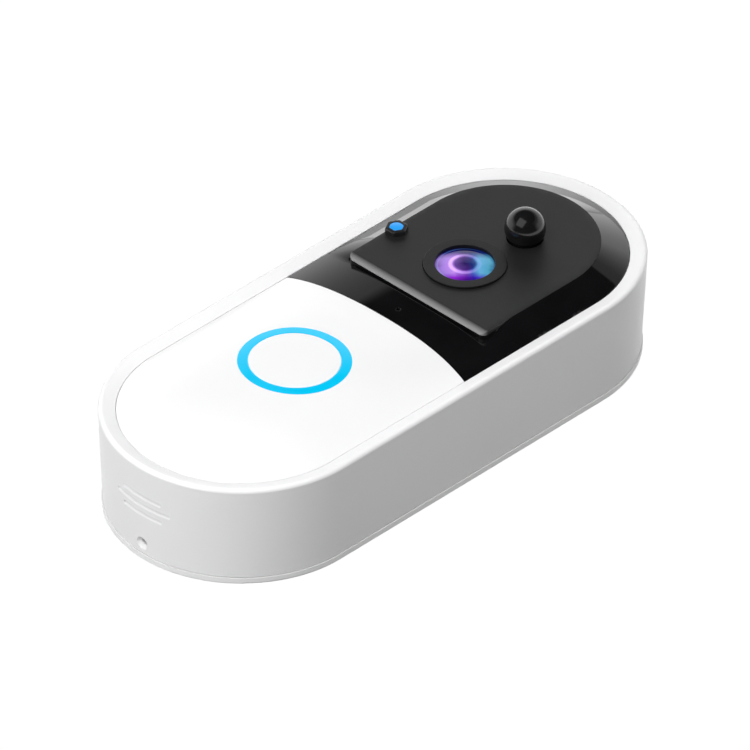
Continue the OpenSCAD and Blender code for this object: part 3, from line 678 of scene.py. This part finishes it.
def shell_profile():
    """The wall, its rolled top edge, and a rim that slopes in to the covers."""
    foot = arc(wall_radius(SHELL_FOOT) - FOOT_ROLL, SHELL_FOOT + FOOT_ROLL, FOOT_ROLL, -90, 0, 4)
    rows, low, top = 16, SHELL_FOOT + FOOT_ROLL, RIM_TOP - RIM_ROLL
    wall = [(wall_radius(z), z) for z in (low + (top - low) * i / rows for i in range(1, rows))]
    turn = 90 + math.degrees(RIM_SLOPE)
    rim = arc(END_R - RIM_ROLL, RIM_TOP - RIM_ROLL, RIM_ROLL, 0, turn, 12)
    lip_z = EDGE_Z + 0.08
    inner = arc(OPEN_R + RIM_INNER_ROLL, lip_z - RIM_INNER_ROLL, RIM_INNER_ROLL, turn, 180, 5)
    ledge, under, inside = COVER_FOOT, COVER_FOOT - LEDGE_T, END_R - WALL
    return foot + wall + rim + inner + [
        (OPEN_R, ledge), (OPEN_R - LEDGE_W, ledge), (OPEN_R - LEDGE_W, under), (inside, under),
        (inside, SHELL_FOOT)]


def shell_normal(v):
    """The exact direction of the shell's outside at a point, or None elsewhere."""
    y = max(-RUN, min(RUN, v[1]))
    out = Vector((v[0], v[1] - y, 0))
    r = out.length
    if r < OPEN_R + RIM_INNER_ROLL:
        return None
    out.normalize()
    across, up = r - (END_R - RIM_ROLL), v[2] - (RIM_TOP - RIM_ROLL)
    if up <= 0:
        lean = DRAFT / (RIM_TOP - RIM_ROLL - SHELL_FOOT)
        return (out - Vector((0, 0, lean))).normalized()
    angle = min(math.atan2(up, across), math.pi / 2 + RIM_SLOPE)
    return (out * math.cos(angle) + Vector((0, 0, math.sin(angle)))).normalized()


def slot_outline(length, height, lower, z):
    """Round-ended outline in x and z, from its right tip over the top. lower widens it downwards."""
    r, steps = height / 2, 24
    half = length / 2 - r
    upper = arc(half, 0, r, 0, 90, 4) + [(half - 2 * half * i / steps, r) for i in range(1, steps)]
    upper += arc(-half, 0, r, 90, 180, 4)
    below = [(x, -h - lower * min(1, h / r * 1.4)) for x, h in upper[1:-1]]
    return [(x, z + h) for x, h in upper + below[::-1]]


def through_wall(outline_at, depths):
    """A plug that follows the curved bottom end wall: an outline (x, z) at each depth below its surface."""
    verts, rings = [], []
    for depth in depths:
        outline = outline_at(depth)
        rings.append(range(len(verts), len(verts) + len(outline)))
        for x, z in outline:
            r = wall_radius(z) - depth
            verts.append((x, -RUN - math.sqrt(max(0.0, r * r - x * x)), z))
    faces = []
    for a, b in zip(rings, rings[1:]):
        n = len(a)
        faces += [(a[i], a[(i + 1) % n], b[(i + 1) % n], b[i]) for i in range(n)]
    for ring in (rings[0], rings[-1]):
        n = len(ring)
        for k in range(n // 2):
            corners = (ring[k], ring[k + 1], ring[(n - k - 1) % n], ring[(n - k) % n])
            faces.append(list(dict.fromkeys(corners)))
    return verts, faces


def cutter(verts, faces):
    """A loose object for cutting an opening."""
    mesh = bpy.data.meshes.new("cut")
    mesh.from_pydata([Vector(v) * MM for v in verts], [], faces)
    bm = bmesh.new()
    bm.from_mesh(mesh)
    bmesh.ops.recalc_face_normals(bm, faces=bm.faces)
    bm.to_mesh(mesh)
    bm.free()
    obj = bpy.data.objects.new("cut", mesh)
    bpy.context.scene.collection.objects.link(obj)
    return obj


def slot_at(length, z):
    """A sound slot's outline by depth: a slit whose lower lip slopes down and out."""
    def outline(depth):
        grow = SLOT_SPILL * min(1.0, max(0.0, SLOT_LIP - depth) / SLOT_LIP)
        return slot_outline(length + grow / 2, SLIT_H, grow, z + SLIT_RISE)
    return outline


def lock_hole(depth):
    """The security screw's hole: it narrows inwards, towards its top."""
    lean = LOCK_LEAN * min(1.0, max(0.0, depth) / LOCK_RAMP)
    return circle(0, LOCK_Z + lean * LOCK_R, LOCK_R * (1.05 - lean), 40)


def shell_with_openings():
    """The surround, with three sound slots and the security screw's hole in its bottom end."""
    verts, faces = swept(shell_profile(), 90, 4.0)
    shell = make("case_surround", verts, faces, "white_case", UNIT, ["outer_shell"], 30)
    cuts = [through_wall(slot_at(length, SLOT_Z + (i - 1) * SLOT_PITCH), (CUT_START, 0.0, SLOT_LIP, CUT_END))
            for i, length in enumerate(SLOT_LENGTHS)]
    cuts.append(through_wall(lock_hole, (CUT_START, 0.0, LOCK_RAMP, CUT_END)))
    for verts, faces in cuts:
        tool = cutter(verts, faces)
        cut = shell.modifiers.new("cut", "BOOLEAN")
        cut.object = tool
        cut.solver = "EXACT"
        settled = bpy.data.meshes.new_from_object(shell.evaluated_get(bpy.context.evaluated_depsgraph_get()))
        shell.modifiers.clear()
        shell.data = settled
        bpy.data.objects.remove(tool)
    shell.data.shade_smooth()
    shell.data.set_sharp_from_angle(angle=math.radians(30))
    true_normals(shell.data, shell_normal)
    return shell


# ---- Front ----

def split_reach(x, y):
    """Distance from the centre of the curved split between the covers."""
    return math.hypot(x, y - SPLIT_MID)


def crown(x, y):
    """The white front: a long pillow, highest at the button."""
    height = CROWN_Z - 0.05 - EDGE_Z
    past = max(0.0, y - RING_Y) / (SPLIT_Y - RING_Y)
    height -= CROWN_DROP * past * past
    share = min(1.0, stadium_reach(x, y) / COVER_R)
    return EDGE_Z + height * (1 - share ** 3)


def ring_reach(x, y):
    """Distance from the button's centre."""
    return math.hypot(x - RING_X, y - RING_Y)


def split_points(gap, count=90):
    """The split's arc from the right edge to the left one."""
    r = SPLIT_R + gap
    half = math.degrees(math.asin(COVER_R / r))
    return arc(0, SPLIT_MID, r, 90 - half, 90 + half, count)


def lower_front():
    """The white cover, with a round hole for the light ring."""
    outer = split_points(0)
    side_top = outer[-1][1]
    outline = outer + side(-COVER_R, side_top, -RUN, 36) + half_turn(-RUN, math.pi)
    outline += side(COVER_R, -RUN, side_top, 36)
    edges = [lambda x, y: COVER_R - stadium_reach(x, y), lambda x, y: SPLIT_R - split_reach(x, y),
             lambda x, y: ring_reach(x, y) - RING_R]
    rolls = (COVER_ROLL, SPLIT_ROLL, 0.05)

    def top(x, y):
        z = crown(x, y)
        for edge, r in zip(edges, rolls):
            z -= roll(edge(x, y), r)
        return z

    shaped("lower_front", [outline, circle(RING_X, RING_Y, RING_R, 160)], edges, top,
           lambda x, y: crown(x, y) - COVER_T, "white_cover", UNIT, ["lower_cover"],
           1.7, (0.02, 0.07, 0.16, 0.5))


def glow_ring():
    """The light ring, flush with the cover and the cap."""
    edges = [lambda x, y: RING_R - ring_reach(x, y), lambda x, y: ring_reach(x, y) - RING_IN]

    def top(x, y):
        return crown(x, y) - roll(edges[0](x, y), 0.05) - roll(edges[1](x, y), 0.06)

    shaped("glow_ring", [circle(RING_X, RING_Y, RING_R - 0.005, 160), circle(RING_X, RING_Y, RING_IN, 160)],
           edges, top, lambda x, y: CAP_LO + 0.9, "ring_blue", UNIT, ["light_ring"], 0.9, (0.02, 0.06, 0.4))


def push_cap():
    """The button: a cap with a flange, hollow round the post that presses the switch."""
    edge = [lambda x, y: CAP_R - ring_reach(x, y)]
    post_foot = box_mm("switch_plunger")[1].z + 0.03
    skirt_r, roof = CAP_R - CAP_SKIRT_T, box_mm("button_sleeve")[1].z + 0.5

    def top(x, y):
        return crown(x, y) - roll(edge[0](x, y), 0.1)

    def under(x, y):
        reach = ring_reach(x, y)
        if reach < CAP_POST_R + 0.01:
            return post_foot
        return CAP_LO if reach > skirt_r - 0.01 else roof

    flange_top = CAP_LO + CAP_FLANGE_T
    steps = (CAP_POST_R, CAP_POST_R + 0.05, skirt_r - 0.05, skirt_r)
    shaped("push_cap", [circle(RING_X, RING_Y, CAP_R, 160)], edge, top, under,
           "white_cover", "button", ["button_cap"], 1.3, (0.02, 0.05, 0.1, 0.4),
           [(0.0, flange_top), (CAP_FLANGE, flange_top - 0.02), (CAP_FLANGE, CAP_LO + 0.05)],
           lines=[circle(RING_X, RING_Y, r, 48) for r in steps])


def chamfer(x, y):
    """The polished slope between the rim and the sensor plate. It follows the plate's front lip down."""
    share = (COVER_R - stadium_reach(x, y)) / (COVER_R - DECK_R)
    return EDGE_Z + (DECK_Z - lip_drop(y) - EDGE_Z) * min(1.0, max(0.0, share))


def ease(t):
    """A soft step from 0 to 1."""
    t = min(1.0, max(0.0, t))
    return t * t * (3 - 2 * t)


def valley(x):
    """The polished stretch before the sensor plate. It carries on the white cover's section."""
    share = min(1.0, abs(x) / COVER_R)
    return EDGE_Z + (crown(0, SPLIT_Y) - EDGE_Z) * (1 - share ** VALLEY_POWER)


def plate_depth(x, y):
    """How far inside the sensor plate's outline a point is. Its two front corners are rounded."""
    if abs(x) > CORNER_X and y < CORNER_Y:
        return CORNER_R - math.hypot(abs(x) - CORNER_X, CORNER_Y - y)
    return min(DECK_R - stadium_reach(x, y), y - DECK_EDGE)


def deck_line(out, side_steps=40, end_steps=110):
    """The sensor plate's outline, moved out from it."""
    r, front, turn = DECK_R + out, DECK_EDGE - out, CORNER_R + out
    line = [(CORNER_X * i / 62, front) for i in range(-62, 63)]
    line += arc(CORNER_X, CORNER_Y, turn, -90, 0, 16)[1:]
    line += side(r, CORNER_Y, RUN, side_steps)
    line += arc(0, RUN, r, 0, 180, end_steps)
    line += side(-r, RUN, CORNER_Y, side_steps)
    return line + arc(-CORNER_X, CORNER_Y, turn, 180, 270, 16)[:-1]


def hole_edges(holes):
    """Distances from round holes (x, y, radius)."""
    return [lambda x, y, c=c: math.hypot(x - c[0], y - c[1]) - c[2] for c in holes]


def window_cover():
    """The polished black cover: a valley, a groove and a pocket for the sensor plate, and a chamfer."""
    edge_top = split_points(SPLIT_GAP)
    corner_y = edge_top[0][1]
    outline = side(COVER_R, corner_y, RUN, 30) + half_turn(RUN, 0) + side(-COVER_R, RUN, corner_y, 30)
    outline += list(reversed(edge_top))
    holes = [(CAM_X, CAM_Y, BEZEL_R - 0.9), (PIR_X, PIR_Y, PIR_R - 0.1), (LAMP_X, LAMP_Y, LAMP_R + 0.1),
             (MIC_X, MIC_Y, MIC_R)]
    edges = [lambda x, y: COVER_R - stadium_reach(x, y),
             lambda x, y: split_reach(x, y) - SPLIT_R - SPLIT_GAP]
    edges += hole_edges(holes)
    rolls = ((edges[0], WINDOW_ROLL), (edges[1], SPLIT_ROLL), (edges[-1], MIC_ROLL))

    def top(x, y):
        if plate_depth(x, y) > -0.02:
            return POCKET_Z
        open_share = ease((CORNER_X - abs(x)) / GROOVE_FADE)
        if y < GROOVE_Y:
            z = valley(x) - roll(GROOVE_Y - y, GROOVE_ROLL) * open_share
        elif y < DECK_EDGE + 0.02 and abs(x) < CORNER_X:
            z = valley(x) - GROOVE_DEPTH * open_share
        else:
            part = ease((y - GROOVE_Y) / BLEND_Y)
            z = chamfer(x, y) * part + valley(x) * (1 - part)
        for edge, r in rolls:
            z -= roll(edge(x, y), r)
        return z

    loops = [outline] + [circle(x, y, r, 72 if r > 2 else 28) for x, y, r in holes]
    backs = (0.0, 0.02, 0.06, 0.12, 0.19, 0.25, 0.5, 0.9)
    groove = [(x * DECK_R / 80, GROOVE_Y - back) for back in backs for x in range(-80, 81)]
    bands = [DECK_R + 0.12] + [DECK_R + 0.5 + 0.62 * i for i in range(9)]
    fine_band = [(r * nx, y + r * ny) for y, nx, ny in stations(90, 1.5) for r in bands
                 if y + r * ny > GROOVE_Y]
    lines = [deck_line(0.0), deck_line(0.04), deck_line(-0.3)]
    shaped("window_cover", loops, edges, top, lambda x, y: min(top(x, y), POCKET_Z) - WINDOW_T,
           "window_black", UNIT, ["camera_window"], 1.0, (0.02, 0.07, 0.12, 0.5),
           extra=groove + fine_band, lines=lines)


def sensor_deck():
    """The matt plate, with a curved front lip."""
    holes = [(CAM_X, CAM_Y, BEZEL_R + 0.12), (PIR_X, PIR_Y, PIR_NECK + 0.4), (LAMP_X, LAMP_Y, LAMP_R + 0.2)]
    edges = [plate_depth] + hole_edges(holes)

    def top(x, y):
        return DECK_Z - lip_drop(y) - roll(DECK_R - stadium_reach(x, y), DECK_ROLL)

    backs = [LIP_BACK * i / 12 for i in range(1, 13)]
    curve = [(DECK_R * i / 70, DECK_EDGE + back) for back in backs for i in range(-70, 71)]
    shaped("sensor_deck", [deck_line(0)] + [circle(x, y, r, 72) for x, y, r in holes], edges,
           top, lambda x, y: POCKET_Z + 0.01, "plate_dark", UNIT, ["sensor_plate"], 1.6, (0.02, 0.05, 0.08),
           extra=curve)


# ---- Camera, motion sensor and indicator ----

def camera_bezel():
    """The dull ring round the glass, on a narrower foot."""
    seat, ledge = GLASS_R + 0.03, BEZEL_FOOT + 0.6
    neck, shoulder = BEZEL_R - 1.2, DECK_Z - 1.5
    profile = [(seat, ledge), (neck, ledge), (neck, shoulder), (BEZEL_R, shoulder)]
    profile += arc(BEZEL_R - BEZEL_ROLL, BEZEL_TOP - BEZEL_ROLL, BEZEL_ROLL, 0, 90, 5)
    profile += arc(MOUTH_R + BEZEL_ROLL, BEZEL_TOP - BEZEL_ROLL, BEZEL_ROLL, 90, 180, 5)
    verts, faces = turned(profile, CAM_X, CAM_Y, 128)
    make("camera_bezel", verts, faces, "bezel_dark", UNIT, ["lens_bezel"], 35)


def front_element():
    """The camera's domed front glass."""
    rise = GLASS_TOP - GLASS_RIM_Z
    dome = (GLASS_R ** 2 + rise ** 2) / (2 * rise)
    half = math.degrees(math.asin(GLASS_R / dome))
    front = arc(0, GLASS_TOP - dome, dome, 90 - half, 90, 20)
    foot = GLASS_RIM_Z - 1.6
    rim = [(0.0, foot), (GLASS_R - 0.1, foot), (GLASS_R, foot + 0.1)]
    verts, faces = turned(rim + front, CAM_X, CAM_Y, 128)
    make("front_element", verts, faces, "lens_glass", UNIT, ["lens_glass"], 40)


def motion_ball():
    """The motion sensor's lens: a ball cut off at the plate, on a flange."""
    centre = PIR_HI.z - PIR_R
    join = -math.degrees(math.asin((centre - DECK_Z + 0.1) / PIR_R))
    neck = PIR_R * math.cos(math.radians(join))
    skirt_z = centre + PIR_R * math.sin(math.radians(join))
    foot, flange_top = PIR_LO.z, PIR_LO.z + 0.7
    outside = [(PIR_FLANGE, foot), (PIR_FLANGE, foot + 0.6), (PIR_FLANGE - 0.1, flange_top),
               (neck, flange_top), (neck, skirt_z)]
    ball = arc(0, centre, PIR_R, join, 90, 40)[1:]
    verts, faces = turned([(0.0, foot)] + outside + ball, PIR_X, PIR_Y, 96)
    make("motion_ball", verts, faces, "pir_black", UNIT, ["pir_lens"], 40)


def rounded_hexagon(r, corner, count=4):
    """Outline of a hexagon with its corners on a circle and rounded."""
    out = []
    inset = corner / math.cos(math.radians(30))
    for k in range(6):
        a = 60 * k
        cx, cy = (r - inset) * math.cos(math.radians(a)), (r - inset) * math.sin(math.radians(a))
        out += arc(cx, cy, corner, a - 30, a + 30, count)
    return out


def indicator_collar():
    """A hexagonal black collar with a turned-in top."""
    mouth = LAMP_R + 0.03
    levels = [(HEX_R, HEX_LO.z), (HEX_R, HEX_HI.z - HEX_ROLL)]
    levels += arc(HEX_R - HEX_ROLL, HEX_HI.z - HEX_ROLL, HEX_ROLL, 0, 90, 5)[1:]
    verts, rings = [], []
    for r, z in levels:
        outline = rounded_hexagon(r, HEX_CORNER)
        rings.append(range(len(verts), len(verts) + len(outline)))
        verts += [(LAMP_X + x, LAMP_Y + y, z) for x, y in outline]
    count = len(rings[0])
    turns = [math.atan2(verts[i][1] - LAMP_Y, verts[i][0] - LAMP_X) for i in rings[0]]
    for r, z in ((mouth + 0.08, HEX_HI.z), (mouth, HEX_HI.z - 0.08), (mouth, HEX_LO.z)):
        rings.append(range(len(verts), len(verts) + count))
        verts += [(LAMP_X + r * math.cos(a), LAMP_Y + r * math.sin(a), z) for a in turns]
    faces = [(a[i], a[(i + 1) % count], b[(i + 1) % count], b[i])
             for a, b in zip(rings, rings[1:] + rings[:1]) for i in range(count)]
    make("indicator_collar", verts, faces, "black_plastic", UNIT, ["indicator_bezel"], 35)


def indicator_pipe():
    """The blue light pipe, just below the collar's top."""
    pipe = [(0.0, LAMP_FOOT), (LAMP_R, LAMP_FOOT)]
    pipe += arc(LAMP_R - LAMP_ROLL, HEX_HI.z - 0.05 - LAMP_ROLL, LAMP_ROLL, 0, 90, 4)
    pipe.append((0.0, HEX_HI.z - 0.03))
    verts, faces = turned(pipe, LAMP_X, LAMP_Y, 48)
    make("indicator_pipe", verts, faces, "lamp_blue", UNIT, ["indicator_lamp"], 40)


# ---- Studio ----

VIEW_AZIMUTH = 44.459
VIEW_ELEVATION = 36.317
VIEW_ROLL = 0.386
VIEW_DISTANCE = 3.0
LENS_MM, SENSOR_MM = 682.992, 36.0
AIM_RIGHT = 0.178
AIM_UP = 9.704
FLOOR_HALF = 12.0


def camera():
    """A long lens from far away, turned by the view's azimuth, elevation and roll."""
    a, e, k = (math.radians(v) for v in (VIEW_AZIMUTH, VIEW_ELEVATION, VIEW_ROLL))
    back = Vector((math.sin(a) * math.cos(e), -math.cos(a) * math.cos(e), math.sin(e)))
    right = Vector((math.cos(a), math.sin(a), 0))
    up = back.cross(right)
    right, up = right * math.cos(k) + up * math.sin(k), up * math.cos(k) - right * math.sin(k)
    data = bpy.data.cameras.new("camera")
    data.sensor_width = SENSOR_MM
    data.lens = LENS_MM
    data.clip_start, data.clip_end = 0.1, 20.0
    obj = bpy.data.objects.new("camera", data)
    bpy.context.scene.collection.objects.link(obj)
    obj.location = back * VIEW_DISTANCE + (right * AIM_RIGHT + up * AIM_UP) * MM
    obj.rotation_mode = "QUATERNION"
    turn = obj.rotation_quaternion.to_matrix()
    for row in range(3):
        turn[row][0], turn[row][1], turn[row][2] = right[row], up[row], back[row]
    obj.rotation_quaternion = turn.to_quaternion()
    bpy.context.scene.camera = obj


def floor():
    """A plain pale floor that only polished faces see. The camera sees an equally plain background."""
    size = FLOOR_HALF
    corners = [(-size, -size, 0), (size, -size, 0), (size, size, 0), (-size, size, 0)]
    mesh = bpy.data.meshes.new("studio_floor")
    mesh.from_pydata(corners, [], [(0, 1, 2, 3)])
    mat, tree, shader = new_graph("look_floor")
    vector = coords(tree)
    tone = noise_of(tree, vector, 3.0)
    tree.links.new(spread(tree, tone, 0.8, 0.9), shader.inputs["Roughness"])
    tree.links.new(ramp_of(tree, tone, [(0.3, (0.8, 0.8, 0.8)), (0.7, (0.83, 0.83, 0.83))]),
                   shader.inputs["Base Color"])
    put(shader, Emission_Color=(1, 1, 1, 1), Emission_Strength=0.92, Specular_IOR_Level=0.0)
    mesh.materials.append(mat)
    obj = bpy.data.objects.new("studio_floor", mesh)
    bpy.context.scene.collection.objects.link(obj)
    obj.visible_diffuse = False
    obj.visible_camera = False


def softbox(name, aim, distance, width, height, power, gloss):
    """An area light that looks at the object from the direction aim. gloss lets polished faces mirror it."""
    data = bpy.data.lights.new(name, "AREA")
    data.shape = "RECTANGLE"
    data.size, data.size_y = width, height
    data.energy = power
    obj = bpy.data.objects.new(name, data)
    bpy.context.scene.collection.objects.link(obj)
    aim = Vector(aim).normalized()
    obj.location = aim * distance
    obj.rotation_mode = "QUATERNION"
    obj.rotation_quaternion = aim.to_track_quat("Z", "Y")
    obj.visible_camera = False
    obj.visible_glossy = gloss


FLAG_EDGE = 0.626
FLAG_TILT = 0.092
AWAY = (-0.7, 0.714, 0.0)


def surroundings():
    """White for the camera. Polished faces see pale walls behind the object, below a tilted black flag."""
    world = bpy.data.worlds.new("studio")
    bpy.context.scene.world = world
    world.use_nodes = True
    tree = world.node_tree
    tree.nodes.clear()
    place = add(tree, "ShaderNodeTexCoord")
    split = add(tree, "ShaderNodeSeparateXYZ")
    tree.links.new(place.outputs["Generated"], split.inputs["Vector"])
    glow = ramp_of(tree, split.outputs["Z"], [
        (0.0, (1.0, 1.0, 1.0)), (0.34, (0.9, 0.9, 0.9)), (0.42, (0.62, 0.62, 0.62)),
        (0.5, (0.38, 0.38, 0.38)), (0.56, (0.24, 0.24, 0.24)), (1.0, (0.24, 0.24, 0.24))])
    edge = maths(tree, "MULTIPLY_ADD", split.outputs["X"], -FLAG_TILT, split.outputs["Z"])
    below = spread(tree, edge, 1.0, 0.0, FLAG_EDGE - 0.006, FLAG_EDGE + 0.006)
    facing = add(tree, "ShaderNodeVectorMath", operation="DOT_PRODUCT")
    facing.inputs[1].default_value = AWAY
    tree.links.new(place.outputs["Generated"], facing.inputs[0])
    behind = spread(tree, facing.outputs["Value"], 0.02, 1.25, -0.5, -0.1)
    left = spread(tree, split.outputs["X"], 1.35, 1.0, -0.72, -0.3)
    level = maths(tree, "MULTIPLY", maths(tree, "MULTIPLY", behind, left), below)
    open_sky = maths(tree, "ADD", level, 0.025)
    walls = add(tree, "ShaderNodeBackground")
    tree.links.new(glow, walls.inputs["Color"])
    tree.links.new(open_sky, walls.inputs["Strength"])
    path = add(tree, "ShaderNodeLightPath")
    fill = put(add(tree, "ShaderNodeBackground"), Color=(1, 1, 1, 1), Strength=0.07)
    lit_mix = add(tree, "ShaderNodeMixShader")
    tree.links.new(path.outputs["Is Glossy Ray"], lit_mix.inputs["Fac"])
    tree.links.new(fill.outputs["Background"], lit_mix.inputs[1])
    tree.links.new(walls.outputs["Background"], lit_mix.inputs[2])
    plain = put(add(tree, "ShaderNodeBackground"), Color=(1, 1, 1, 1), Strength=1.02)
    mix = add(tree, "ShaderNodeMixShader")
    tree.links.new(path.outputs["Is Camera Ray"], mix.inputs["Fac"])
    tree.links.new(lit_mix.outputs["Shader"], mix.inputs[1])
    tree.links.new(plain.outputs["Background"], mix.inputs[2])
    out = add(tree, "ShaderNodeOutputWorld")
    tree.links.new(mix.outputs["Shader"], out.inputs["Surface"])


# name, aim, distance, width, height, power, gloss
SOFTBOXES = (
    ("overhead", (0.0, -0.2, 0.95), 0.7, 1.1, 1.1, 6.3, False),
    ("low_front", (0.2, -0.95, 0.22), 1.2, 0.9, 0.5, 6.3, False),
    ("low_back", (0.35, 0.9, 0.18), 1.2, 0.8, 0.4, 4.2, False),
    ("window_glint", (0.02, -0.53, 0.85), 1.0, 0.8, 0.8, 3.2, True),
)


def studio():
    camera()
    floor()
    surroundings()
    for box in SOFTBOXES:
        softbox(*box)
    bpy.context.scene.view_settings.view_transform = "Standard"


studio()
dress_frame()
shell_with_openings()
lower_front()
glow_ring()
push_cap()
window_cover()
sensor_deck()
camera_bezel()
front_element()
motion_ball()
indicator_collar()
indicator_pipe()
